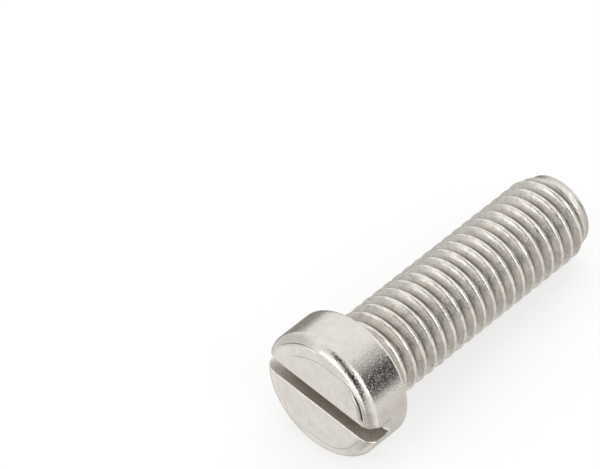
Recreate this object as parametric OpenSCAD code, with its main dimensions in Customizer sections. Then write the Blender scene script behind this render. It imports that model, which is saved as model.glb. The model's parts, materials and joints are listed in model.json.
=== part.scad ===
// Slotted cheese-head machine screw, threaded up to a short neck under the head.
// The screw lies on its side as it comes to rest: the rim under the head and the
// last full thread before the point touch the surface, so its axis dips towards
// the tip.
//
// Frame: the origin is the centre of the bearing face under the head, on the
// screw's axis. +Z is up, and the tip points along +X.

/* [Thread] */
// outer diameter of the thread
thread_d = 8; // [4:0.1:12]
// distance from one thread to the next
pitch = 1.25; // [0.5:0.05:1.75]
// length of the shank, from the bearing face to the end of the point
shank_l = 26; // [12:0.5:80]
// length of the neck under the head, up to where the thread has its full height
neck_l = 1.7; // [1:0.1:4]

/* [Point] */
// length of the chamfered point
point_l = 1.8; // [0.5:0.1:3]
// diameter of the flat end of the point
point_d = 6.8; // [2:0.1:7.6]

/* [Head] */
// diameter of the head
head_d = 11.8; // [10:0.1:20]
// height of the head, from the bearing face to the flat of its top
head_h = 4.5; // [3:0.1:8]
// diameter of the flat on top of the head
face_d = 9.1; // [5:0.1:9.6]
// slope of the shallow bevel around that flat, in degrees
bevel_slope = 7; // [2:0.5:15]
// radius of the rounded upper edge of the head
edge_r = 0.6; // [0.2:0.05:0.9]
// radius of the rim where the side of the head meets the bearing face
rim_r = 0.4; // [0.1:0.05:0.8]
// radius of the fillet between the bearing face and the neck
fillet_r = 0.5; // [0.1:0.05:0.8]

/* [Driver slot] */
// width of the slot
slot_w = 1.5; // [0.8:0.05:2.4]
// depth of the slot below the flat on top
slot_depth = 2.2; // [1:0.1:2.5]
// turn of the slot out of the level about the screw's axis, as the screw lies
slot_turn = 6.2; // [-90:0.1:90]

/* [Output] */
// which sub-part to build

/* [Hidden] */
$fn = 96;

thread_r = thread_d / 2;
head_r = head_d / 2;
face_r = face_d / 2;
point_r = point_d / 2;

// A rolled thread stands as far above its blank as it is pressed into it, so the
// neck keeps the blank's diameter, close to the thread's pitch diameter.
thread_rise = 0.32 * pitch;
neck_r = thread_r - thread_rise;

// Metric thread form: flanks at 30 degrees to the radius, a crest an eighth of the
// pitch wide, and the groove's depth below it.
flank_angle = 30;
crest_w = pitch / 8;
thread_depth = 0.6134 * pitch;
// half width of the groove's floor
root_half = pitch / 2 - crest_w / 2 - thread_depth * tan(flank_angle);
// place of the first crest on the side that faces down
crest_at = 0.71 * pitch;
// the ridge rises from the neck over this length, and fades over the point's end
run_in = min(0.8 * pitch, neck_l - fillet_r - 0.1);
run_in_at = neck_l - run_in;
fade_end = shank_l - 0.3 * point_l;
fade_at = fade_end - 0.6 * pitch;
// flats round one turn of the ridge
turn_steps = 36;

// circle of the upper edge, tangent to the bevel and to the side of the head
edge_x = head_r - edge_r;
edge_y = -head_h + (edge_x - face_r) * tan(bevel_slope) + edge_r / cos(bevel_slope);
bevel_x = edge_x + edge_r * sin(bevel_slope);
bevel_y = edge_y - edge_r * cos(bevel_slope);

// circle of the rim, tangent to the side of the head and to the bearing face
rim_x = head_r - rim_r;
rim_y = -rim_r;

// The screw rests on a line that touches the rim's circle and ends at the last full
// crest before the point. Its slope is the tilt of the axis.
point_y = shank_l - point_l;
foot_y = crest_at + crest_w / 2
    + pitch * floor((point_y - crest_at - crest_w / 2) / pitch);
foot_reach = norm([foot_y - rim_y, rim_x - thread_r]);
rest_tilt = atan2(rim_x - thread_r, foot_y - rim_y) + asin(rim_r / foot_reach);

// what a cutting tool overruns, so that no skin is left, and what one solid enters
// another that it is joined to
overrun = 1;
lap = 0.1;

steel = [0.80, 0.78, 0.75];

// half section of the head: x is the radius, y runs from the head towards the tip
module head_section() {
    polygon([
        [0, -head_h], [face_r, -head_h], [bevel_x, bevel_y], [edge_x, edge_y],
        [head_r, edge_y], [head_r, rim_y], [rim_x, rim_y], [rim_x, 0], [0, 0]
    ]);
    translate([edge_x, edge_y]) circle(r = edge_r);
    translate([rim_x, rim_y]) circle(r = rim_r);
}

// half section of the neck, with the fillet that carries it into the bearing face
module neck_section() {
    square([neck_r, run_in_at]);
    difference() {
        translate([neck_r, 0]) square(fillet_r);
        translate([neck_r + fillet_r, fillet_r]) circle(r = fillet_r);
    }
}

// cutter of the straight slot, right across the head
module slot_cut() {
    rotate([0, 0, slot_turn])
        translate([-slot_w / 2, -head_r - overrun, -head_h - overrun])
            cube([slot_w, head_d + 2 * overrun, slot_depth + overrun]);
}

// share of the way from a to b, held between 0 and 1
function share(a, b, y) = min(1, max(0, (y - a) / (b - a)));

// radius of the shank's outside: the thread's crests, then the cone of the point
function outside(y) = thread_r + (point_r - thread_r) * share(point_y, shank_l, y);

// The ridge is a strip of four lines wound round the shank: both edges of the crest
// and both edges of the groove's floor. Each has its place along a pitch, and its
// depth.
ridge_lines = [
    [-crest_w / 2, 0], [crest_w / 2, 0],
    [pitch / 2 - root_half, thread_depth], [pitch / 2 + root_half, thread_depth]
];
line_count = len(ridge_lines);
blank_in_r = neck_r - 0.03;
ridge_from = run_in_at - lap;
turn_from = floor((ridge_from - crest_at) / pitch) - 2;
turn_to = ceil((shank_l - crest_at) / pitch) + 1;
row_count = (turn_to - turn_from) * line_count;
// a line's end closer than this to the shank's end is drawn into it
snap = 0.04 * pitch;

// height of a ridge line, of row k, at step i round the shank
function row_y(i, k) = crest_at + pitch * (turn_from + floor(k / line_count) + i / turn_steps)
    + ridge_lines[k % line_count][0];

// radius of the wound surface for a line of that depth at that height
function row_r(depth, y) =
    let (full = pow(share(run_in_at, neck_l, y), 2) * (1 - share(fade_at, fade_end, y)))
    let (blank = y < neck_l ? blank_in_r : outside(y))
    blank + full * (min(outside(y), thread_r - depth) - blank);

function on_circle(i, r, y) = [r * cos(360 * i / turn_steps), r * sin(360 * i / turn_steps), y];

// index of a corner: rows that run past an end of the shank fold into its ring
function corner(i, k) =
    i == turn_steps ? corner(0, k + line_count)
    : k >= row_count || row_y(i, k) > shank_l - snap ? turn_steps + i
    : row_y(i, k) < ridge_from + snap ? i
    : (2 + k) * turn_steps + i;

// the two triangles of a patch, less what folded away
function patch(a, b, c, d) = [
    for (t = [[a, b, c], [a, c, d]])
        if (t[0] != t[1] && t[1] != t[2] && t[2] != t[0]) t
];

// the shank with its wound ridge, closed by a flat at each end
module threaded_shank() {
    steps = [0:turn_steps - 1];
    points = concat(
        [for (i = steps) on_circle(i, blank_in_r, ridge_from)],
        [for (i = steps) on_circle(i, point_r, shank_l)],
        [for (k = [0:row_count - 1]) for (i = steps)
            on_circle(i, row_r(ridge_lines[k % line_count][1], row_y(i, k)), row_y(i, k))]
    );
    faces = concat(
        [[for (i = steps) i]],
        [[for (i = steps) 2 * turn_steps - 1 - i]],
        [for (k = [0:row_count - 1]) for (i = steps) for (t = patch(
            corner(i, k), corner(i, k + 1), corner(i + 1, k + 1), corner(i + 1, k))) t]
    );
    polyhedron(points, faces, convexity = 20);
}

// the whole screw, cold headed and rolled in one piece
module screw() {
    color(steel)
        rotate([0, 90 + rest_tilt, 0]) {
            difference() {
                rotate_extrude() {
                    head_section();
                    neck_section();
                }
                slot_cut();
            }
            threaded_shank();
        }
}

screw();
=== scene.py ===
"""Slotted cheese-head machine screw, dressed around its fixed frame.

The screw is one piece. Its mesh follows the solid of the frame, with the helical
rolled thread, the worked edges of the head and the marks of plating added.
"""
import json
import math

import bmesh
import bpy
from bpy.props import FloatProperty, PointerProperty, StringProperty
from mathutils import Matrix, Vector, noise


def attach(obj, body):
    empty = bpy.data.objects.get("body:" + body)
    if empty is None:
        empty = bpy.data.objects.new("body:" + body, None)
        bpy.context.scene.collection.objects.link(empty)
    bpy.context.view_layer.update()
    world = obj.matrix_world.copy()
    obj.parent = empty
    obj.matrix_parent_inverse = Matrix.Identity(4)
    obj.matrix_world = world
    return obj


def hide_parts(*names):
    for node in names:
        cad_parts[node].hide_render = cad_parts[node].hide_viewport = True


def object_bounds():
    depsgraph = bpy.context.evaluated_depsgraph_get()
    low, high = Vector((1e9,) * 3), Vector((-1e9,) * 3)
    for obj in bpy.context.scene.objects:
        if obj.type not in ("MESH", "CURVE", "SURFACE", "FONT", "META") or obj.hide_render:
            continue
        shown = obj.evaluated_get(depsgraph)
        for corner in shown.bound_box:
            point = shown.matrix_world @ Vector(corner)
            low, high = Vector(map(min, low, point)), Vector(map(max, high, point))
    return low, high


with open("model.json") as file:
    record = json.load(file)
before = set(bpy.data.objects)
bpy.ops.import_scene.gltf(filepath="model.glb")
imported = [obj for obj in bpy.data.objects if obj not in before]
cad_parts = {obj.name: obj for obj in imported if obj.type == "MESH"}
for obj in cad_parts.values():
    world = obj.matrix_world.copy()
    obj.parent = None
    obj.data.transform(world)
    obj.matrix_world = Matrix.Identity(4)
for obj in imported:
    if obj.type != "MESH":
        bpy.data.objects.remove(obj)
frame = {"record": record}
CAD_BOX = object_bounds()

bl_info = {
    "name": "Cheese-head machine screw",
    "version": (1, 0, 0),
    "blender": (4, 5, 0),
    "location": "View3D > Sidebar > Screw",
    "description": "Builds a slotted cheese-head machine screw and its studio",
    "category": "Add Mesh",
}

MM = 0.001
TAU = 2 * math.pi
MOUNTS = {m["name"]: m for m in frame["record"]["mounts"]}
THREAD_MOUNT = MOUNTS["thread"]
HEAD_MOUNT = MOUNTS["head_side"]

# the screw's own axis in the frame, from the head towards the tip
AXIS = Vector(THREAD_MOUNT["axis"]).normalized()


class ScrewThreadSettings(bpy.types.PropertyGroup):
    """Sizes of the threaded shank"""

    diameter: FloatProperty(
        name="Outer diameter", description="Outer diameter of the thread",
        default=2 * THREAD_MOUNT["dims"]["r_mm"] * MM, unit="LENGTH")
    pitch: FloatProperty(
        name="Pitch", description="Distance from one thread to the next",
        default=1.25 * MM, unit="LENGTH")
    length: FloatProperty(
        name="Length", description="Length of the shank under the head",
        default=26.0 * MM, unit="LENGTH")
    neck: FloatProperty(
        name="Neck", description="Length under the head before the thread is full",
        default=1.7 * MM, unit="LENGTH")
    neck_diameter: FloatProperty(
        name="Neck diameter", description="Diameter of the blank under the head",
        default=7.2 * MM, unit="LENGTH")
    fillet: FloatProperty(
        name="Fillet", description="Radius between the neck and the bearing face",
        default=0.5 * MM, unit="LENGTH")
    point: FloatProperty(
        name="Point", description="Length of the chamfered point",
        default=1.8 * MM, unit="LENGTH")
    point_diameter: FloatProperty(
        name="Point diameter", description="Diameter of the flat end of the point",
        default=6.8 * MM, unit="LENGTH")


class ScrewHeadSettings(bpy.types.PropertyGroup):
    """Sizes of the head and its driver slot"""

    diameter: FloatProperty(
        name="Head diameter", description="Diameter of the head",
        default=2 * HEAD_MOUNT["dims"]["r_mm"] * MM, unit="LENGTH")
    height: FloatProperty(
        name="Head height", description="From the bearing face to the flat on top",
        default=4.5 * MM, unit="LENGTH")
    face_diameter: FloatProperty(
        name="Flat on top", description="Diameter of the flat inside the bevel",
        default=9.1 * MM, unit="LENGTH")
    edge: FloatProperty(
        name="Upper edge", description="Radius of the rounded upper edge",
        default=0.72 * MM, unit="LENGTH")
    rim: FloatProperty(
        name="Rim", description="Radius of the rim at the bearing face",
        default=0.4 * MM, unit="LENGTH")
    slot_width: FloatProperty(
        name="Slot width", description="Width of the driver slot",
        default=1.5 * MM, unit="LENGTH")
    slot_depth: FloatProperty(
        name="Slot depth", description="Depth of the driver slot",
        default=2.2 * MM, unit="LENGTH")
    slot_turn: FloatProperty(
        name="Slot turn", description="Turn of the slot out of the level",
        default=math.radians(6.2), unit="ROTATION", subtype="ANGLE")


class ScrewFinishSettings(bpy.types.PropertyGroup):
    """Colours of the screw and the floor"""

    plate: StringProperty(
        name="Plate", description="Colour of the nickel plate, sRGB hex",
        default="#E4E0DA")
    cut: StringProperty(
        name="Cut", description="Colour of the milled slot, sRGB hex",
        default="#CFC7C0")
    floor: StringProperty(
        name="Floor", description="Colour of the floor, sRGB hex",
        default="#F8F8F7")


def linear(hex_colour):
    """sRGB hex to a linear RGBA colour."""
    parts = [int(hex_colour[i:i + 2], 16) / 255 for i in (1, 3, 5)]
    return [p / 12.92 if p <= 0.04045 else ((p + 0.055) / 1.055) ** 2.4
            for p in parts] + [1.0]


def smooth(low, high, value):
    """0 below low, 1 above high, and an even curve between them."""
    t = min(1.0, max(0.0, (value - low) / (high - low)))
    return t * t * (3 - 2 * t)


def mix(a, b, share):
    """The value at a share of the way from a to b."""
    return a + (b - a) * share


def add_node(tree, kind, settings=None, links=None):
    """A node with its settings, by property or input name, and its input links."""
    node = tree.nodes.new(kind)
    for name, value in (settings or {}).items():
        if isinstance(name, str) and hasattr(node, name):
            setattr(node, name, value)
        else:
            node.inputs[name].default_value = value
    for name, source in (links or {}).items():
        tree.links.new(source, node.inputs[name])
    return node


def new_material(name):
    """A material and its empty node tree."""
    material = bpy.data.materials.new(name)
    material.use_nodes = True
    tree = material.node_tree
    tree.nodes.clear()
    return material, tree


# The screw is made on its own axis, in mm. Z runs from the bearing face to the tip, so
# the head lies below zero. make_screw_mesh carries it into the frame.

# half a pitch of the rolled thread: place from the crest's middle and depth below the
# crest, both as shares of the pitch. The crest is round, with a radius of 0.185 pitch,
# the flanks stand at 30 degrees, and the root is rounded too.
THREAD_FORM = [
    (0.0, 0.0), (0.0226, 0.0014), (0.0448, 0.0055), (0.0663, 0.0123), (0.0869, 0.0217),
    (0.1087, 0.0353), (0.1331, 0.0565), (0.1602, 0.0925), (0.270, 0.2827),
    (0.362, 0.442), (0.416, 0.5355), (0.462, 0.594), (0.5, 0.612),
]
THREAD_START = 0.71    # place of the crest at angle 0, as a share of the pitch
RUN_IN = 0.45          # from the bearing face to where the ridge leaves the neck
RUN_IN_PAST = 0.2      # from the neck's end to where the ridge has its full height
RUN_OUT = 1.25         # from where the ridge starts to fade to the end
POINT_BAND = 0.5       # length of the last band of the point, less steep than its cone
BAND_RISE = 0.08       # height of that band over the end's radius, at its start
END_ROUND = 0.14       # length of the rounding between that band and the end face
# rows of that rounding and of the flat's rim: distance inside the end's radius, and
# from the end
END_ROWS = [(0.015, 0.09), (0.06, 0.03), (0.14, 0.0), (0.5, 0.01)]
# rows of the dished end face, as shares of the end's radius, its depth in the middle,
# and how much of that depth its curve takes up again
DISH_ROWS = (0.68, 0.5, 0.33, 0.17, 0.06)
DISH_DEPTH, DISH_CURVE = 0.05, 0.04
DISH_INSIDE = 0.3      # distance inside the end's radius where the face is uneven

# handling has rubbed the crests bright, most on one side, where the extra rubbing is a
# painted highlight on the side that the studio's light falls on: that side in degrees round
# the axis, and how far from it the extra rubbing starts and is full
HIGHLIGHT_SIDE = 222
HIGHLIGHT_ARC = (70, 25)
RUB_MOST = 0.8
# depths, as shares of the pitch, where the rubbing starts to fade and is gone: round
# most of the thread, and on the rubbed side
RUB_FADES = (0.015, 0.085)
RUB_ENDS = (0.050, 0.170)
# it comes in patches of this size, between these values of the noise, taken from here
RUB_PATCH = 0.55
RUB_NOISE = (-0.45, 0.40)
RUB_PLACE = (9, 4, 2)
# painted shade at the bottom of the groove: how dark, and the depths, as
# shares of the pitch, where that starts and is full
GROOVE_SHADE = 0.76
GROOVE_SHADE_DEPTHS = (0.38, 0.60)

# unevenness left by heading and rolling: height and width in mm, and a place in the
# noise
CREST_WEAR = (0.020, 0.55, 3.1)
FLANK_WEAR = (0.008, 0.55, 3.1)
SHANK_WEAR = (0.010, 2.4, 7.7)
END_WEAR = (0.02, 1.3, 5.0)
TOP_WEAR = (0.010, 1.9, 11.0)
SIDE_WEAR = (0.004, 1.9, 11.0)
EDGE_WEAR = (0.007, 0.8, 3.0)
CREST_REACH = 0.08     # depth down to which a place has the wear of the crest
# a row of the head lies on top where its normal points this far up, and on the edge
# where it points this far out
TOP_FACING = -0.9
EDGE_FACING = (0.2, 0.99)

HALF_STEPS = 80        # columns across each half of the head
ROUND_STEPS = 3        # columns round each end of a slot edge
GAP_STEPS = 4          # columns across each mouth of the slot
COLUMNS = 2 * (HALF_STEPS + 2 * ROUND_STEPS + GAP_STEPS)
WALL_STEPS = 24        # steps of the slot's floor along its walls
SLOT_EDGE = 0.07       # radius of the slot's broken edges

# rows of the head from the slot outwards and down: across the flat, across the crease
# as shares of its half width, across the bevel as shares of its width, and down to the
# height of the slot's floor
FLAT_ROWS = 14
CREASE_ROWS = (-0.6, -0.3, 0.0, 0.3, 0.6)
BEVEL_ROWS = (0.15, 0.35, 0.65, 1.0)
UPPER_ROWS = 5
BEVEL_ROW = FLAT_ROWS + len(CREASE_ROWS) + len(BEVEL_ROWS)   # where the bevel ends
LAP_ROW = BEVEL_ROW + 1                                      # where the edge starts
BEVEL_SLOPE = math.radians(7)
# arcs of the head's upper edge, pressed almost to a chamfer: the slope in degrees that
# each one reaches, its radius as a share of the edge's radius, and its rows
EDGE_ARCS = [(38, 0.72, 3), (60, 2.2, 3), (90, 0.62, 2)]
# rows below the slot's floor: the first one's distance from it, those down the side
# as shares of the way to the rim, those round the rim, across the bearing face as
# shares of the way to the fillet, and round the fillet
FLOOR_STEP = 0.05
SIDE_ROWS = (0.2, 0.45, 0.7, 0.9, 1.0)
RIM_ROWS = 6
SEAT_ROWS = (0.25, 0.5, 0.75, 1.0)
FILLET_ROWS = 6

# the crease between the flat and the bevel wanders, as an upset head's does: angle
# round the head from the slot in degrees, and the crease's distance from the axis
CREASE_LINE = [
    (0, 4.35), (25, 4.54), (40, 4.48), (68, 4.78), (93, 4.47), (125, 4.70),
    (165, 4.72), (204, 4.78), (219, 4.86), (234, 4.85), (258, 4.33), (287, 4.10),
    (304, 4.07), (335, 4.20), (360, 4.35),
]
# its depth, by the same angle
CREASE_DEPTH = [
    (0, 0.003), (60, 0.004), (100, 0.010), (130, 0.022), (158, 0.020), (176, 0.004),
    (186, 0.0), (194, 0.006), (199, 0.120), (206, 0.150), (217, 0.110), (230, 0.040),
    (244, 0.020), (262, 0.015), (304, 0.020), (316, 0.016), (326, 0.001), (360, 0.003),
]
CREASE_HALF = 0.11     # half width of the crease
CREASE_WANDER = 0.05   # how far it strays from its line besides
CREASE_WAVES = 2.6     # and how often, for each radian round the head
# the exponent of its sides where it is deep, and the depths between which it changes
CREASE_STEEP = 0.35
STEEP_DEPTHS = (0.04, 0.10)
# a second fold where the bevel turns into the edge, over a part of the head
LAP_DEPTH = [
    (0, 0.0), (276, 0.0), (286, 0.035), (305, 0.045), (322, 0.03), (332, 0.0), (360, 0.0),
]
# a fold's darkness is painted shade
FOLD_FULL_SHADE = 0.05       # depth from which a fold is wholly dark

# a chip that the slot's cutter left hanging over one mouth: where along the axis it
# starts and ends, and how far across the mouth it reaches
CHIP_FROM, CHIP_TO, CHIP_REACH = -3.30, -2.20, 1.50
CHIP_STEPS = 10
CHIP_START = 0.02      # its reach where it starts
CHIP_SPREAD = 1.1      # exponent by which its reach grows
CHIP_RAGGED = (0.06, 9)    # waves of its free edge: height as a share, and frequency
CHIP_ROOT = -0.25      # how deep it is rooted in the wall
CHIP_THICK = 0.15      # thickness at the root
CHIP_THINNED = 0.6     # share of that which is gone at the free edge
CHIP_PROUD = 0.012     # height over the side of the head
CHIP_CURL = 0.15       # how much farther the lip curls out
# shares of its reach between which the lip curls out, and between which it has a painted
# highlight
CHIP_LIP = (0.68, 0.95)
CHIP_HIGHLIGHT = (0.55, 0.75)
# the corner above that mouth is knocked round: place along the axis, half its length,
# depth, how far inside the bevel's outer line it starts, and its columns
KNOCK_PLACE, KNOCK_HALF, KNOCK = -3.95, 0.75, 0.42
KNOCK_INSIDE = 0.3
KNOCK_COLUMNS = 4

# material slots of the mesh
HEAD_SKIN, THREAD_SKIN, SLOT_SKIN = 0, 1, 2

# vertices closer than this are one, and edges shorter than this are none, in metres
WELD, SLIVER = 2e-6, 1e-7


class ScrewMesh:
    """Vertices, faces and sharp edges of the screw, gathered piece by piece."""

    def __init__(self, thread, head):
        self.thread_r = thread.diameter / MM / 2
        self.pitch = thread.pitch / MM
        self.length = thread.length / MM
        self.neck = thread.neck / MM
        self.neck_r = thread.neck_diameter / MM / 2
        self.fillet = thread.fillet / MM
        self.point = thread.point / MM
        self.point_r = thread.point_diameter / MM / 2
        self.head_r = head.diameter / MM / 2
        self.head_h = head.height / MM
        self.face_r = head.face_diameter / MM / 2
        self.edge = head.edge / MM
        self.rim = head.rim / MM
        self.slot_half = head.slot_width / MM / 2
        self.slot_floor = -self.head_h + head.slot_depth / MM
        self.slot_turn = head.slot_turn
        self.points, self.faces, self.slots, self.sharp = [], [], [], []
        self.seams, self.wear_and_highlights = [], []

    def vertex(self, x, y, z, seam=0.0, wear_and_highlight=0.0):
        """Adds a vertex, with how far it has painted shade and how far it is rubbed bright
        or has a painted highlight.
        """
        self.points.append((x, y, z))
        self.seams.append(seam)
        self.wear_and_highlights.append(wear_and_highlight)
        return len(self.points) - 1

    def face(self, corners, slot):
        """Adds a face, less the corners that fold into their neighbours."""
        kept = [c for i, c in enumerate(corners) if c != corners[i - 1]]
        if len(set(kept)) > 2:
            self.faces.append(kept)
            self.slots.append(slot)

    def strip(self, lower, upper, slot, closed=True):
        """Quads between two rows of as many vertices."""
        count = len(lower)
        for i in range(count if closed else count - 1):
            k = (i + 1) % count
            self.face([lower[i], lower[k], upper[k], upper[i]], slot)


def around_head(line, angle):
    """Value of a line of (degrees, value) pairs at an angle in radians."""
    degrees = math.degrees(angle) % 360
    for (a, r), (b, s) in zip(line, line[1:]):
        if degrees <= b:
            return mix(r, s, smooth(a, b, degrees))
    return line[0][1]


def worn(point, normal, amount, size, seed):
    """A point moved along its normal by smooth noise."""
    where = Vector(point) / size + Vector((seed, seed * 1.7, -seed))
    return Vector(point) + normal * (amount * noise.noise(where))


def thread_depth(along, pitch):
    """Depth of the groove below the crest, at a place from a crest's middle."""
    share = abs((along / pitch + 0.5) % 1.0 - 0.5)
    for (a, d), (b, e) in zip(THREAD_FORM, THREAD_FORM[1:]):
        if share <= b:
            return pitch * mix(d, e, (share - a) / (b - a))
    return pitch * THREAD_FORM[-1][1]


def shank_radius(screw, angle, z):
    """Radius of the threaded shank at an angle round the axis and a height."""
    along = z - screw.pitch * (THREAD_START + angle / TAU)
    threaded = screw.thread_r - thread_depth(along, screw.pitch)
    cone_from = screw.length - screw.point
    band_from = screw.length - POINT_BAND
    band_r = screw.point_r + BAND_RISE
    if z < cone_from:
        outer = screw.thread_r
    elif z > band_from:
        outer = mix(band_r, screw.point_r, (z - band_from) / (screw.length - band_from))
    else:
        outer = mix(screw.thread_r, band_r,
                    min(1.0, (z - cone_from) / (band_from - cone_from)))
    blank = min(outer, screw.neck_r if z < screw.neck + screw.pitch else outer)
    full = smooth(RUN_IN, screw.neck + RUN_IN_PAST, z)
    full *= 1 - smooth(screw.length - RUN_OUT, band_from, z)
    return mix(blank, min(outer, threaded), full)


def crest_brightening(point, angle, depth):
    """How far handling has rubbed a place of the thread bright, at a share of a pitch, with
    a painted highlight where it reaches further on one side.
    """
    away = abs((math.degrees(angle) - HIGHLIGHT_SIDE + 180) % 360 - 180)
    side = smooth(*HIGHLIGHT_ARC, away)
    crest = RUB_MOST - RUB_MOST * smooth(mix(*RUB_FADES, side), mix(*RUB_ENDS, side), depth)
    patches = noise.noise(point / RUB_PATCH + Vector(RUB_PLACE))
    return crest * smooth(*RUB_NOISE, patches)


def build_thread(screw, ring):
    """The threaded shank, from a ring of vertices under the head to the tip's edge."""
    top, bottom = screw.fillet, screw.length - END_ROUND
    offsets = [p for p, _ in THREAD_FORM]
    offsets = sorted([-p for p in offsets[1:]] + offsets[:-1])
    first = math.floor(top / screw.pitch) - 2
    last = math.ceil(bottom / screw.pitch) + 1
    rows = [(THREAD_START + k + p) * screw.pitch
            for k in range(first, last) for p in offsets]
    angles = [TAU * i / COLUMNS for i in range(COLUMNS + 1)]
    places = {}
    end = []
    for angle in angles[:-1]:
        r = shank_radius(screw, angle, bottom)
        end.append(screw.vertex(r * math.cos(angle), r * math.sin(angle), bottom))

    def height(column, row):
        return rows[row] + screw.pitch * angles[column] / TAU

    def at(column, row):
        """Vertex of a column and row, where rows outside the shank fold into its ends."""
        if column == COLUMNS:
            # one turn on, the row is the one that stands a pitch higher
            return at(0, row + len(offsets)) if row + len(offsets) < len(rows) else end[0]
        z = height(column, row)
        if z <= top:
            return ring[column]
        if z >= bottom:
            return end[column]
        key = (column, row)
        if key not in places:
            angle = angles[column]
            r = shank_radius(screw, angle, z)
            out = Vector((math.cos(angle), math.sin(angle), 0))
            p = Vector((r * out.x, r * out.y, z))
            depth = screw.thread_r - r
            p = worn(p, out, *(CREST_WEAR if depth < CREST_REACH else FLANK_WEAR))
            p = worn(p, out, *SHANK_WEAR)
            share = depth / screw.pitch
            # painted shade deep in the groove
            places[key] = screw.vertex(*p, seam=GROOVE_SHADE * smooth(*GROOVE_SHADE_DEPTHS, share),
                                       wear_and_highlight=crest_brightening(p, angle, share))
        return places[key]

    for column in range(COLUMNS):
        for row in range(len(rows) - 1):
            if height(column + 1, row + 1) > top and height(column, row) < bottom:
                screw.face([at(column, row), at(column + 1, row),
                            at(column + 1, row + 1), at(column, row + 1)], THREAD_SKIN)
    return end


def build_tip(screw, ring):
    """The rounded end of the point and its flat, slightly dished end face."""
    rows = [(screw.point_r - inside, screw.length - below) for inside, below in END_ROWS]
    rows += [(screw.point_r * s, screw.length - DISH_DEPTH + DISH_CURVE * s * s)
             for s in DISH_ROWS]
    inward = Vector((0, 0, -1))
    below = ring
    for r, z in rows:
        row = []
        for i in range(COLUMNS):
            angle = TAU * i / COLUMNS
            p = Vector((r * math.cos(angle), r * math.sin(angle), z))
            if r < screw.point_r - DISH_INSIDE:
                p = worn(p, inward, *END_WEAR)
            row.append(screw.vertex(*p))
        screw.strip(below, row, THREAD_SKIN)
        below = row
    centre = screw.vertex(0, 0, screw.length - DISH_DEPTH)
    for i in range(COLUMNS):
        screw.face([below[i], below[(i + 1) % COLUMNS], centre], THREAD_SKIN)


def edge_profile(screw):
    """Rows of the upper edge: distance out and down from its start, and the slope."""
    rows = []
    start, across, down = BEVEL_SLOPE, 0.0, 0.0
    for end, share, steps in EDGE_ARCS:
        r = share * screw.edge
        for k in range(1, steps + 1):
            turn = mix(start, math.radians(end), k / steps)
            rows.append((across + r * (math.sin(turn) - math.sin(start)),
                         down + r * (math.cos(start) - math.cos(turn)), turn))
        across, down, start = rows[-1]
    return rows


def head_profile(screw):
    """Rows of the head's upper skin: radius, height, and the outward normal."""
    inner = screw.slot_half + SLOT_EDGE
    flat_r = screw.face_r - CREASE_HALF
    half = math.sqrt(flat_r ** 2 - inner ** 2)
    rows = []
    for k in range(FLAT_ROWS + 1):
        reach = half * k / FLAT_ROWS
        rows.append((math.sqrt(inner ** 2 + reach ** 2), -screw.head_h, 0.0, -1.0))
    for share in CREASE_ROWS:
        rows.append((screw.face_r + share * CREASE_HALF, -screw.head_h, 0.0, -1.0))
    edge = edge_profile(screw)
    bevel_r = screw.head_r - edge[-1][0]
    bevel_z = -screw.head_h + (bevel_r - screw.face_r) * math.tan(BEVEL_SLOPE)
    for share in BEVEL_ROWS:
        rows.append((mix(screw.face_r, bevel_r, share),
                     mix(-screw.head_h, bevel_z, share),
                     math.sin(BEVEL_SLOPE), -math.cos(BEVEL_SLOPE)))
    for across, down, turn in edge:
        rows.append((bevel_r + across, bevel_z + down, math.sin(turn), -math.cos(turn)))
    edge_z = bevel_z + edge[-1][1]
    for k in range(1, UPPER_ROWS + 1):
        rows.append((screw.head_r, mix(edge_z, screw.slot_floor, k / UPPER_ROWS), 1.0, 0.0))
    return rows


def head_point(screw, across, along, z):
    """A point of the head, from its place across and along the slot."""
    turn = screw.slot_turn
    # the slot runs along the local Y axis, turned about the screw's axis
    x = across * math.cos(turn) - along * math.sin(turn)
    y = across * math.sin(turn) + along * math.cos(turn)
    return Vector((x, y, z))


def beside_crease(screw, radius, bevel_r, around, side):
    """Radius of a row of the top, which follows the crease as it wanders."""
    pull = around_head(CREASE_LINE, around) - screw.face_r
    pull += CREASE_WANDER * noise.noise(Vector((CREASE_WAVES * around, side, 0.5)))
    if radius <= screw.face_r - CREASE_HALF:
        return radius + pull * (radius / (screw.face_r - CREASE_HALF)) ** 3
    if radius <= screw.face_r + CREASE_HALF:
        return radius + pull
    return radius + (pull * (bevel_r - radius)
                     / (bevel_r - screw.face_r - CREASE_HALF))


def fold_depth(screw, index, radius, around):
    """Depth of the fold that a place of the head's row lies in."""
    if index == LAP_ROW:
        return around_head(LAP_DEPTH, around)
    depth = around_head(CREASE_DEPTH, around)
    # a deep crease has steeper sides, so it is also wider
    steep = mix(1.0, CREASE_STEEP, smooth(*STEEP_DEPTHS, depth))
    return depth * max(0.0, 1 - abs(radius - screw.face_r) / CREASE_HALF) ** steep


def row_angle(screw, radius, share):
    """Angle from the slot at a share of a row, from one end of the slot to the other."""
    start = math.asin(min(1.0, (screw.slot_half + SLOT_EDGE) / radius))
    return mix(start, math.pi - start, share)


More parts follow.
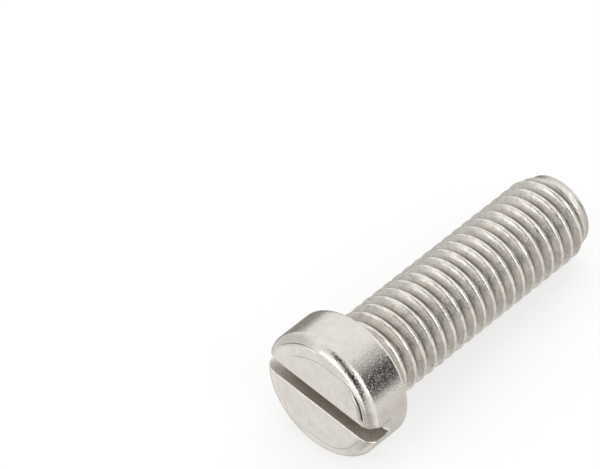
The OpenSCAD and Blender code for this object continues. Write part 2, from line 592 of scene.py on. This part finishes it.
def build_head_half(screw, side):
    """The skin on one side of the slot. Returns its lowest row and its slot edges."""
    profile = head_profile(screw)
    bevel_r = profile[BEVEL_ROW][0]
    outward = head_point(screw, side, 0, 0)
    turned = 0 if side > 0 else math.pi
    rows, knocks = [], []
    for index, (radius, z, n_r, n_z) in enumerate(profile):
        row = []
        for j in range(HALF_STEPS + 1):
            share = j / HALF_STEPS
            r = radius
            if index < BEVEL_ROW:
                around = row_angle(screw, radius, share) + turned
                r = beside_crease(screw, radius, bevel_r, around, side)
            angle = row_angle(screw, r, share)
            p = head_point(screw, side * r * math.sin(angle),
                           side * r * math.cos(angle), z)
            out = head_point(screw, side * n_r * math.sin(angle),
                             side * n_r * math.cos(angle), n_z)
            fold = fold_depth(screw, index, radius, angle + turned)
            p -= out * fold
            height, width, seed = TOP_WEAR if n_z < TOP_FACING else SIDE_WEAR
            p = worn(p, out, height, width, seed + side)
            if EDGE_FACING[0] < n_r < EDGE_FACING[1]:
                p = worn(p, out, *EDGE_WEAR)
            # painted shade in the crease and the lap, by their depth
            row.append(screw.vertex(*p, seam=min(1.0, fold / FOLD_FULL_SHADE)))
        knock = 0.0
        if side < 0 and radius > bevel_r - KNOCK_INSIDE:
            # the first vertices stand back from the knocked corner
            knock = KNOCK * smooth(0, 1, 1 - abs(z - KNOCK_PLACE) / KNOCK_HALF)
            for j in range(KNOCK_COLUMNS):
                back = outward * (knock * (1 - j / KNOCK_COLUMNS))
                screw.points[row[j]] = tuple(Vector(screw.points[row[j]]) + back)
        knocks.append(knock)
        rows.append(row)
        if index:
            screw.strip(rows[-2], row, HEAD_SKIN, closed=False)
    # the slot's broken edge at both ends of the rows, one arc for each vertex along it
    edges = []
    for column, sign in ((0, 1), (HALF_STEPS, -1)):
        arcs = []
        for row, knock, (_, _, n_r, n_z) in zip(rows, knocks, profile):
            base = Vector(screw.points[row[column]])
            out = head_point(screw, 0, side * sign * n_r, n_z).normalized()
            edge_r = SLOT_EDGE + (knock if sign > 0 else 0.0)
            arc = [row[column]]
            for k in range(1, ROUND_STEPS + 1):
                turn = math.pi / 2 * k / ROUND_STEPS
                arc.append(screw.vertex(*(base - outward * (edge_r * math.sin(turn))
                                          - out * (edge_r * (1 - math.cos(turn))))))
            arcs.append(arc)
        edges.append(arcs)
        for arc, after in zip(arcs, arcs[1:]):
            for k in range(ROUND_STEPS):
                quad = [arc[k], after[k], after[k + 1], arc[k + 1]]
                screw.face(quad if sign > 0 else quad[::-1], HEAD_SKIN)
    return rows[-1], edges


def build_head(screw):
    """The head with its slot. Returns the ring of vertices that the shank starts from."""
    halves = {side: build_head_half(screw, side) for side in (1, -1)}
    # walls: the inner line of the slot's edge, from one mouth over the top to the
    # other, closed by the floor's line
    floor_line = {}
    for side, (_, (start, finish)) in halves.items():
        # both begin at the middle of the slot, so one of them is run backwards, and
        # the wall has one of the two vertices in the middle
        line = [arc[-1] for arc in start[::-1]] + [arc[-1] for arc in finish[1:]]
        a, b = Vector(screw.points[line[0]]), Vector(screw.points[line[-1]])
        low = [screw.vertex(*a.lerp(b, k / WALL_STEPS)[:2], screw.slot_floor)
               for k in range(1, WALL_STEPS)]
        low = [line[0]] + low + [line[-1]]
        floor_line[side] = low
        wall = line + low[-2:0:-1]
        screw.face(wall[::-1], SLOT_SKIN)
        screw.sharp += list(zip(line, line[1:])) + list(zip(low, low[1:]))
    # ring at the floor's height, once round the head
    ring, mouths = [], []
    for side in (1, -1):
        bottom, (_, finish) = halves[side]
        other = halves[-side][1][0]
        # the mouth runs to the other half's wall
        first, last = finish[-1][-1], other[-1][-1]
        a, b = Vector(screw.points[first]), Vector(screw.points[last])
        gap = []
        for k in range(1, GAP_STEPS):
            p = a.lerp(b, k / GAP_STEPS)
            p.z = screw.slot_floor
            flat = Vector((p.x, p.y, 0))
            p += flat.normalized() * (screw.head_r - flat.length)
            gap.append(screw.vertex(*p))
        mouths.append([first] + gap + [last])
        ring += bottom + finish[-1][1:] + gap + other[-1][1:][::-1]
    near, far = floor_line[1], floor_line[-1][::-1]
    for k in range(len(near) - 1):
        screw.face([near[k], near[k + 1], far[k + 1], far[k]], SLOT_SKIN)
    for mouth in mouths:
        screw.face(mouth, SLOT_SKIN)
        screw.sharp += list(zip(mouth, mouth[1:]))
    return build_head_side(screw, ring)


def build_head_side(screw, ring):
    """The lower side of the head, the rim, the bearing face and the fillet."""
    # angles of the ring's vertices, unwrapped so that they run once round
    angles = []
    for v in ring:
        angle = math.atan2(screw.points[v][1], screw.points[v][0])
        if angles:
            angle = angles[-1] + ((angle - angles[-1] + math.pi) % TAU - math.pi)
        angles.append(angle)
    turn = 1 if angles[-1] > angles[0] else -1
    # radius, height, and how far the columns are spread evenly
    rows = [(screw.head_r, screw.slot_floor + FLOOR_STEP, 0.0)]
    rows += [(screw.head_r, mix(screw.slot_floor, -screw.rim, s), 0.0) for s in SIDE_ROWS]
    for k in range(1, RIM_ROWS + 1):
        a = math.pi / 2 * k / RIM_ROWS
        rows.append((screw.head_r - screw.rim + screw.rim * math.cos(a),
                     -screw.rim + screw.rim * math.sin(a), 0.0))
    inner = screw.neck_r + screw.fillet
    rows += [(mix(screw.head_r - screw.rim, inner, s), 0.0, s) for s in SEAT_ROWS]
    for k in range(1, FILLET_ROWS + 1):
        a = math.pi / 2 * k / FILLET_ROWS
        rows.append((inner - screw.fillet * math.sin(a),
                     screw.fillet * (1 - math.cos(a)), 1.0))
    # the column that starts nearest to angle 0 becomes the shank's first column
    shift = min(range(COLUMNS), key=lambda i: abs((angles[i] + math.pi) % TAU - math.pi))
    above = ring
    for r, z, even in rows:
        row = []
        for i, own in enumerate(angles):
            target = TAU * (i - shift) * turn / COLUMNS
            own += TAU * round((target - own) / TAU)
            angle = mix(own, target, even)
            out = Vector((math.cos(angle), math.sin(angle), 0))
            p = Vector((r * out.x, r * out.y, z))
            if r == screw.head_r:
                p = worn(p, out, *SIDE_WEAR)
            row.append(screw.vertex(*p))
        screw.strip(above, row, HEAD_SKIN)
        above = row
    # give the last row back in rising order from angle 0
    return [above[(shift + turn * k) % COLUMNS] for k in range(COLUMNS)]


def build_chip(screw):
    """The chip over one mouth of the slot, a thin closed skin rooted in the wall."""
    skins = []
    for layer in (0, 1):
        rows = []
        for i in range(CHIP_STEPS + 1):
            down = i / CHIP_STEPS
            z = mix(CHIP_FROM, CHIP_TO, down)
            reach = CHIP_REACH * down ** CHIP_SPREAD + CHIP_START
            reach *= 1 + CHIP_RAGGED[0] * math.sin(CHIP_RAGGED[1] * down)
            row = []
            for j in range(CHIP_STEPS + 1):
                out = j / CHIP_STEPS
                across = mix(CHIP_ROOT, reach, out) - screw.slot_half
                thick = CHIP_THICK * (1 - CHIP_THINNED * out) * layer
                curl = CHIP_PROUD + CHIP_CURL * smooth(*CHIP_LIP, out)
                radius = screw.head_r + curl - thick
                along = -math.sqrt(radius ** 2 - across ** 2)
                # painted highlight on the chip's lip
                row.append(screw.vertex(*head_point(screw, across, along, z),
                                        wear_and_highlight=smooth(*CHIP_HIGHLIGHT, out)))
            rows.append(row)
        for a, b in zip(rows, rows[1:]):
            for j in range(CHIP_STEPS):
                quad = [a[j], a[j + 1], b[j + 1], b[j]]
                screw.face(quad[::-1] if layer else quad, HEAD_SKIN)
        skins.append(rows)
    # the rims of both skins, each once round, and the wall between them
    over, under = [rows[0][:-1] + [row[-1] for row in rows[:-1]] + rows[-1][:0:-1]
                   + [row[0] for row in rows[:0:-1]] for rows in skins]
    for k in range(len(over)):
        n = (k + 1) % len(over)
        screw.face([over[n], over[k], under[k], under[n]], HEAD_SKIN)


def make_screw_mesh(thread, head):
    """The whole screw as a mesh in the frame, in metres, and the place in the frame
    where the slot's floor runs out through one mouth."""
    screw = ScrewMesh(thread, head)
    neck_ring = build_head(screw)
    tip_ring = build_thread(screw, neck_ring)
    build_tip(screw, tip_ring)
    build_chip(screw)
    # local Z becomes the screw's axis, and local Y stays level
    level = Vector((0, 1, 0))
    turn = Matrix((level.cross(AXIS), level, AXIS)).transposed()
    mesh = bpy.data.meshes.new("screw")
    mesh.from_pydata([turn @ (Vector(p) * MM) for p in screw.points], [], screw.faces)
    mesh.polygons.foreach_set("material_index", screw.slots)
    for name, values in (("seam", screw.seams), ("wear_and_highlight", screw.wear_and_highlights)):
        mesh.attributes.new(name, "FLOAT", "POINT").data.foreach_set("value", values)
    open_edges = clean(mesh, screw.sharp)
    if open_edges:
        raise RuntimeError(f"the screw's mesh has {open_edges} open edges")
    run_out = turn @ (head_point(screw, 0, screw.head_r, screw.slot_floor) * MM)
    return mesh, tuple(run_out)


def clean(mesh, sharp):
    """Joins doubled vertices, turns the faces outwards and shades them smooth, but for
    the sharp edges. Returns how many edges are open."""
    work = bmesh.new()
    work.from_mesh(mesh)
    work.verts.ensure_lookup_table()
    marked = work.edges.layers.int.new("sharp_line")
    for a, b in sharp:
        edge = work.edges.get((work.verts[a], work.verts[b]))
        if edge:
            edge[marked] = 1
    bmesh.ops.remove_doubles(work, verts=work.verts, dist=WELD)
    bmesh.ops.dissolve_degenerate(work, edges=work.edges, dist=SLIVER)
    bmesh.ops.recalc_face_normals(work, faces=work.faces)
    for face in work.faces:
        face.smooth = True
    for edge in work.edges:
        if edge[marked]:
            edge.smooth = False
    work.edges.layers.int.remove(marked)
    open_edges = sum(not edge.is_manifold for edge in work.edges)
    work.to_mesh(mesh)
    work.free()
    return open_edges


# Nickel plated on steel gives the eye a pale, warm metal that mirrors the studio. How
# the steel was worked before plating sets how sharp the mirror is. The real pits and
# grains are a few hundredths of a millimetre wide, which is too fine for the render, so
# they are drawn as coarse as they need to show. Sizes are in mm.

# headed between smooth dies: nearly a mirror, with the die's soft waves, fine pits, and
# single grains that catch light of their own where the plate mirrors something dark
HEADED = {
    "name": "nickel-plated steel, cold headed", "roughness": 0.10,
    "pit_mm": 0.19, "pit_depth": 0.021, "wave_mm": 0.9, "wave_depth": 0.006, "grit": 0.32,
}
# rolled between grooved dies: satin, with thin dark marks drawn out along the thread
ROLLED = {
    "name": "nickel-plated steel, rolled thread", "roughness": 0.25,
    "pit_mm": 0.17, "pit_depth": 0.022, "wave_mm": 0.7, "wave_depth": 0.007,
    "streak": 0.34,
}
# milled after heading: matt and greyer
MILLED = {
    "name": "nickel-plated steel, milled slot", "roughness": 0.62,
    "pit_mm": 0.25, "pit_depth": 0.020, "wave_mm": 0.8, "wave_depth": 0.010,
}
# the plate where it is rubbed bright or has a painted highlight, and its painted shade in a
# fold or deep in the groove
RUBBED_HIGHLIGHT_COLOUR, RUBBED_ROUGHNESS = "#F1EEE9", 0.09
PAINTED_SHADE_COLOUR = "#4A443F"
# painted highlight on the milled cut where it runs out through the head's side: from the
# first of these distances, and fully within the second
RUN_OUT_HIGHLIGHT_COLOUR, RUN_OUT_FROM, RUN_OUT_TO = "#FFFFFF", 2.3, 0.5
# hazy patches of the plate: width, how bright the dull ones are, the values of the
# noise where they are dull and bright, and those where the plate is rough and smooth,
# with the shares of its roughness there
HAZE_MM, HAZE_SHADE, HAZE_TONES = 0.9, 0.92, (0.35, 0.6)
HAZE_NOISE, ROUGH_SHARE, SMOOTH_SHARE = (0.3, 0.7), 1.25, 0.75
# grains: width, and the values of the noise where they start to stand out and are
# full. Real ones are about 0.03 mm wide.
GRAIN_MM, GRAIN_NOISE = 0.11, (0.56, 0.74)
# rolling marks: length round the thread, width as a share of that, the values of the
# noise where they start and are full, and how bright they are
MARK_MM, MARK_WIDTH, MARK_NOISE, MARK_SHADE = 0.55, 0.30, (0.50, 0.62), 0.45


def shaded(colour, share):
    """A linear colour at a share of its brightness."""
    return [c * share for c in colour[:3]] + [1.0]


def plate_material(colour, name, roughness, pit_mm, pit_depth, wave_mm, wave_depth,
                   streak=0.0, grit=0.0, run_out=None):
    """Nickel plate over steel: a bright warm metal with fine pits and soft waves."""
    material, tree = new_material(name)
    place = add_node(tree, "ShaderNodeTexCoord").outputs["Object"]
    pits = add_node(tree, "ShaderNodeTexNoise", {
        "Scale": 1 / (pit_mm * MM), "Detail": 3.0, "Roughness": 0.65}, {"Vector": place})
    wave = add_node(tree, "ShaderNodeTexNoise", {
        "Scale": 1 / (wave_mm * MM), "Detail": 2.0, "Roughness": 0.5}, {"Vector": place})
    haze = add_node(tree, "ShaderNodeTexNoise", {
        "Scale": 1 / (HAZE_MM * MM), "Detail": 5.0, "Roughness": 0.62}, {"Vector": place})
    plate = linear(colour)
    tint = add_node(tree, "ShaderNodeMapRange", {
        "From Min": HAZE_TONES[0], "From Max": HAZE_TONES[1]},
        {"Value": haze.outputs["Fac"]})
    tone = add_node(tree, "ShaderNodeMix", {
        "data_type": "RGBA", 6: shaded(plate, HAZE_SHADE), 7: plate},
        {0: tint.outputs["Result"]})
    height = pits.outputs["Fac"]
    if grit:
        grains = add_node(tree, "ShaderNodeTexNoise", {
            "Scale": 1 / (GRAIN_MM * MM), "Detail": 1.0, "Roughness": 0.5},
            {"Vector": place})
        raised = add_node(tree, "ShaderNodeMapRange", {
            "From Min": GRAIN_NOISE[0], "From Max": GRAIN_NOISE[1], "To Max": grit},
            {"Value": grains.outputs["Fac"]})
        height = add_node(tree, "ShaderNodeMath", {"operation": "ADD"}, {
            0: height, 1: raised.outputs["Result"]}).outputs[0]
    if streak:
        # rolling drags the metal round the screw, so its marks are turned with the axis
        # and made narrow along it
        along = add_node(tree, "ShaderNodeMapping", {
            "vector_type": "TEXTURE", "Rotation": (0, math.atan2(-AXIS.z, AXIS.x), 0),
            "Scale": (MARK_WIDTH, 1, 1)}, {"Vector": place})
        drawn = add_node(tree, "ShaderNodeTexNoise", {
            "Scale": 1 / (MARK_MM * MM), "Detail": 3.0, "Roughness": 0.68},
            {"Vector": along.outputs["Vector"]})
        marks = add_node(tree, "ShaderNodeMapRange", {
            "From Min": MARK_NOISE[0], "From Max": MARK_NOISE[1], "To Max": streak},
            {"Value": drawn.outputs["Fac"]})
        tone = add_node(tree, "ShaderNodeMix", {
            "data_type": "RGBA", 7: shaded(plate, MARK_SHADE)},
            {0: marks.outputs["Result"], 6: tone.outputs[2]})
        height = add_node(tree, "ShaderNodeMath", {"operation": "ADD"}, {
            0: height, 1: drawn.outputs["Fac"]}).outputs[0]
    # painted shade from the mesh: the crease, the lap and the bottom of the groove
    fold = add_node(tree, "ShaderNodeAttribute", {"attribute_name": "seam"})
    wear_and_highlight = add_node(tree, "ShaderNodeAttribute", {"attribute_name": "wear_and_highlight"})
    # lightened by rubbing on the crests, partly wear and partly painted highlight, and by
    # the chip's painted highlight
    bright = add_node(tree, "ShaderNodeMix", {
        "data_type": "RGBA", 7: linear(RUBBED_HIGHLIGHT_COLOUR)},
        {0: wear_and_highlight.outputs["Fac"], 6: tone.outputs[2]})
    # painted highlight where the milled cut runs out through the head's side
    if run_out:
        away = add_node(tree, "ShaderNodeVectorMath", {
            "operation": "DISTANCE", 1: run_out}, {0: place})
        near = add_node(tree, "ShaderNodeMapRange", {
            "interpolation_type": "SMOOTHSTEP", "From Min": RUN_OUT_FROM * MM,
            "From Max": RUN_OUT_TO * MM}, {"Value": away.outputs["Value"]})
        bright = add_node(tree, "ShaderNodeMix", {
            "data_type": "RGBA", 7: linear(RUN_OUT_HIGHLIGHT_COLOUR)},
            {0: near.outputs["Result"], 6: bright.outputs[2]})
    # painted shade darkens the folds and the bottom of the groove
    shown = add_node(tree, "ShaderNodeMix", {
        "data_type": "RGBA", 7: linear(PAINTED_SHADE_COLOUR)},
        {0: fold.outputs["Fac"], 6: bright.outputs[2]})
    rough = add_node(tree, "ShaderNodeMapRange", {
        "From Min": HAZE_NOISE[0], "From Max": HAZE_NOISE[1],
        "To Min": roughness * ROUGH_SHARE, "To Max": roughness * SMOOTH_SHARE},
        {"Value": haze.outputs["Fac"]})
    rough = add_node(tree, "ShaderNodeMix", {3: RUBBED_ROUGHNESS}, {
        0: wear_and_highlight.outputs["Fac"], 2: rough.outputs["Result"]})
    fine = add_node(tree, "ShaderNodeBump", {
        "Strength": 1.0, "Distance": pit_depth * MM}, {"Height": height})
    broad = add_node(tree, "ShaderNodeBump", {
        "Strength": 1.0, "Distance": wave_depth * MM},
        {"Height": wave.outputs["Fac"], "Normal": fine.outputs["Normal"]})
    shader = add_node(tree, "ShaderNodeBsdfPrincipled", {"Metallic": 1.0}, {
        "Base Color": shown.outputs[2], "Roughness": rough.outputs[0],
        "Normal": broad.outputs["Normal"]})
    add_node(tree, "ShaderNodeOutputMaterial", None, {"Surface": shader.outputs["BSDF"]})
    return material


# share of the board's own light and shade that the camera sees, over plain white
FLOOR_SHADE = 0.34


def floor_material(colour):
    """Matt coated board: white to the eye, with a share of its own shading kept."""
    material, tree = new_material("white board, matt coated")
    path = add_node(tree, "ShaderNodeLightPath")
    board = add_node(tree, "ShaderNodeBsdfDiffuse", {"Color": linear(colour)})
    glow = add_node(tree, "ShaderNodeEmission", {
        "Color": linear("#FFFFFF"), "Strength": 1.0})
    shaded_board = add_node(tree, "ShaderNodeMixShader", {0: FLOOR_SHADE},
                            {1: glow.outputs[0], 2: board.outputs[0]})
    shown = add_node(tree, "ShaderNodeMixShader", None, {
        0: path.outputs["Is Camera Ray"], 1: board.outputs[0],
        2: shaded_board.outputs[0]})
    add_node(tree, "ShaderNodeOutputMaterial", None, {"Surface": shown.outputs[0]})
    return material


# camera in the frame, in mm from the bearing face's centre, and its two axes
CAMERA_PLACE = (-167.009, -154.649, 267.832)
CAMERA_RIGHT = (0.669873, -0.741972, -0.027353)
CAMERA_UP = (0.562485, 0.483090, 0.670995)
FOCAL_PIXELS = 4313.66
PICTURE_WIDTH = 600
SENSOR_MM = 36.0
CLIP_FROM, CLIP_TO = 0.01, 10   # metres
FLOOR_HALF = 3.0                # half of the floor's side, in metres

# what the bright metal sees of the studio, each over those before it: azimuth and
# elevation in the frame, reach of the full tone and of its soft edge in degrees,
# and the tone as a share of white
TONES = {
    "low left": (-160, -36, 24, 48, (0.52, 0.50, 0.475)),
    "low right": (-45, -48, 20, 46, (0.72, 0.70, 0.67)),
    "low back": (55, -60, 15, 40, (0.60, 0.58, 0.56)),
    "behind": (56, -22, 13, 28, (0.30, 0.29, 0.27)),
    "left low": (112, -4, 18, 42, (0.68, 0.67, 0.655)),
    "left box": (172, 3, 20, 33, (1.82, 1.81, 1.78)),
    "camera side": (-151, 29, 15, 24, (0.03, 0.03, 0.028)),
    "camera low": (-149, 11, 8, 18, (0.05, 0.05, 0.048)),
    "haze": (-38, 46, 4, 15, (0.56, 0.55, 0.53)),
    "right box": (-92, 38, 12, 23, (2.85, 2.83, 2.8)),
    "camera top": (179, 57, 10, 20, (0.05, 0.05, 0.048)),
    "front box": (-8, 9, 12, 22, (1.3, 1.29, 1.27)),
    "left gap": (134, 5, 8, 23, (0.70, 0.69, 0.675)),
    "dark wall": (-52, 18, 13, 29, (0.09, 0.088, 0.085)),
}
# what the metal sees everywhere else, and what the world is to the floor
STUDIO_WHITE = (1.0, 0.995, 0.985, 1.0)
WORLD_GREY = (0.88, 0.88, 0.88, 1.0)
# soft boxes: azimuth, elevation, side in mm, distance in mm, brightness
SOFT_BOXES = {
    "left_box": (163, 32, 260, 420, 1.25),
    "right_box": (-88, 44, 220, 420, 1.2),
    "back_box": (25, 60, 300, 420, 1.0),
}


def direction(azimuth, elevation):
    """Unit vector towards an azimuth and elevation, in degrees."""
    a, e = math.radians(azimuth), math.radians(elevation)
    return Vector((math.cos(a) * math.cos(e), math.sin(a) * math.cos(e), math.sin(e)))


def make_camera():
    """The camera at the photograph's viewing angle."""
    data = bpy.data.cameras.new("camera")
    data.sensor_width = SENSOR_MM
    data.lens = SENSOR_MM * FOCAL_PIXELS / PICTURE_WIDTH
    data.clip_start, data.clip_end = CLIP_FROM, CLIP_TO
    camera = bpy.data.objects.new("camera", data)
    bpy.context.scene.collection.objects.link(camera)
    right, up = Vector(CAMERA_RIGHT).normalized(), Vector(CAMERA_UP).normalized()
    back = right.cross(up).normalized()
    up = back.cross(right)
    turn = Matrix((right, up, back)).transposed().to_4x4()
    camera.matrix_world = Matrix.Translation(Vector(CAMERA_PLACE) * MM) @ turn
    bpy.context.scene.camera = camera
    return camera


def make_floor(colour, height):
    """A wide plain floor that the screw rests on, which the metal doesn't mirror."""
    mesh = bpy.data.meshes.new("floor")
    corners = [(x * FLOOR_HALF, y * FLOOR_HALF, height)
               for x, y in ((-1, -1), (1, -1), (1, 1), (-1, 1))]
    mesh.from_pydata(corners, [], [(0, 1, 2, 3)])
    floor = bpy.data.objects.new("floor", mesh)
    bpy.context.scene.collection.objects.link(floor)
    mesh.materials.append(floor_material(colour))
    floor.visible_glossy = False
    return floor


def make_soft_box(name, azimuth, elevation, side, reach, brightness):
    """A square lamp turned to the screw, seen by neither the camera nor the metal."""
    look = direction(azimuth, elevation)
    data = bpy.data.lights.new(name, "AREA")
    data.shape = "SQUARE"
    data.size = side * MM
    data.energy = brightness * math.pi * (side * MM) ** 2
    lamp = bpy.data.objects.new(name, data)
    bpy.context.scene.collection.objects.link(lamp)
    lamp.matrix_world = (Matrix.Translation(look * reach * MM)
                         @ look.to_track_quat("Z", "Y").to_matrix().to_4x4())
    lamp.visible_camera = lamp.visible_glossy = False
    return lamp


def make_world():
    """White to the camera, plain to the floor, and the studio's tones to the metal."""
    world = bpy.data.worlds.new("studio")
    bpy.context.scene.world = world
    world.use_nodes = True
    tree = world.node_tree
    tree.nodes.clear()
    way = add_node(tree, "ShaderNodeTexCoord").outputs["Generated"]
    seen = add_node(tree, "ShaderNodeRGB").outputs[0]
    seen.default_value = STUDIO_WHITE
    for azimuth, elevation, full, edge, tone in TONES.values():
        toward = add_node(tree, "ShaderNodeVectorMath", {
            "operation": "DOT_PRODUCT", 1: direction(azimuth, elevation)}, {0: way})
        share = add_node(tree, "ShaderNodeMapRange", {
            "interpolation_type": "SMOOTHSTEP",
            "From Min": math.cos(math.radians(edge)),
            "From Max": math.cos(math.radians(full))}, {"Value": toward.outputs["Value"]})
        seen = add_node(tree, "ShaderNodeMix", {"data_type": "RGBA", 7: (*tone, 1.0)}, {
            0: share.outputs["Result"], 6: seen}).outputs[2]
    path = add_node(tree, "ShaderNodeLightPath")
    bright = add_node(tree, "ShaderNodeMath", {"operation": "MAXIMUM"}, {
        0: path.outputs["Is Glossy Ray"], 1: path.outputs["Is Transmission Ray"]})
    plain = add_node(tree, "ShaderNodeMix", {
        "data_type": "RGBA", 6: WORLD_GREY, 7: linear("#FFFFFF")},
        {0: path.outputs["Is Camera Ray"]})
    colour = add_node(tree, "ShaderNodeMix", {"data_type": "RGBA"}, {
        0: bright.outputs[0], 6: plain.outputs[2], 7: seen})
    sky = add_node(tree, "ShaderNodeBackground", {"Strength": 1.0},
                   {"Color": colour.outputs[2]})
    add_node(tree, "ShaderNodeOutputWorld", None, {"Surface": sky.outputs[0]})


class SCREW_OT_body(bpy.types.Operator):
    """Build the screw with its slotted head, neck, rolled thread and point"""

    bl_idname = "screw.body"
    bl_label = "Screw"

    def execute(self, context):
        scene = context.scene
        finish = scene.screw_finish
        mesh, run_out = make_screw_mesh(scene.screw_thread, scene.screw_head)
        # in the order of HEAD_SKIN, THREAD_SKIN and SLOT_SKIN
        mesh.materials.append(plate_material(finish.plate, **HEADED))
        mesh.materials.append(plate_material(finish.plate, **ROLLED))
        mesh.materials.append(plate_material(finish.cut, **MILLED, run_out=run_out))
        piece = bpy.data.objects.new("screw_body", mesh)
        scene.collection.objects.link(piece)
        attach(piece, "root")
        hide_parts("screw")
        return {"FINISHED"}


class SCREW_OT_studio(bpy.types.Operator):
    """Set the floor, the soft boxes, the world and the camera"""

    bl_idname = "screw.studio"
    bl_label = "Studio"

    def execute(self, context):
        make_camera()
        make_world()
        make_floor(context.scene.screw_finish.floor, CAD_BOX[0].z)
        for name, box in SOFT_BOXES.items():
            make_soft_box(name, *box)
        context.scene.view_settings.view_transform = "Standard"
        return {"FINISHED"}


class SCREW_PT_panel(bpy.types.Panel):
    """Sidebar panel with the screw's sizes, its finish and its operators"""

    bl_idname = "SCREW_PT_panel"
    bl_label = "Machine screw"
    bl_space_type = "VIEW_3D"
    bl_region_type = "UI"
    bl_category = "Screw"

    def draw(self, context):
        layout = self.layout
        for group in (context.scene.screw_thread, context.scene.screw_head,
                      context.scene.screw_finish):
            column = layout.column(align=True)
            for name in group.__annotations__:
                column.prop(group, name)
        layout.operator(SCREW_OT_body.bl_idname)
        layout.operator(SCREW_OT_studio.bl_idname)


GROUPS = {"screw_thread": ScrewThreadSettings, "screw_head": ScrewHeadSettings,
          "screw_finish": ScrewFinishSettings}
CLASSES = (*GROUPS.values(), SCREW_OT_body, SCREW_OT_studio, SCREW_PT_panel)


def register():
    for cls in CLASSES:
        bpy.utils.register_class(cls)
    for name, group in GROUPS.items():
        setattr(bpy.types.Scene, name, PointerProperty(type=group))


def unregister():
    for name in GROUPS:
        delattr(bpy.types.Scene, name)
    for cls in reversed(CLASSES):
        bpy.utils.unregister_class(cls)


def main():
    register()
    bpy.ops.screw.body()
    bpy.ops.screw.studio()


if __name__ == "__main__":
    main()
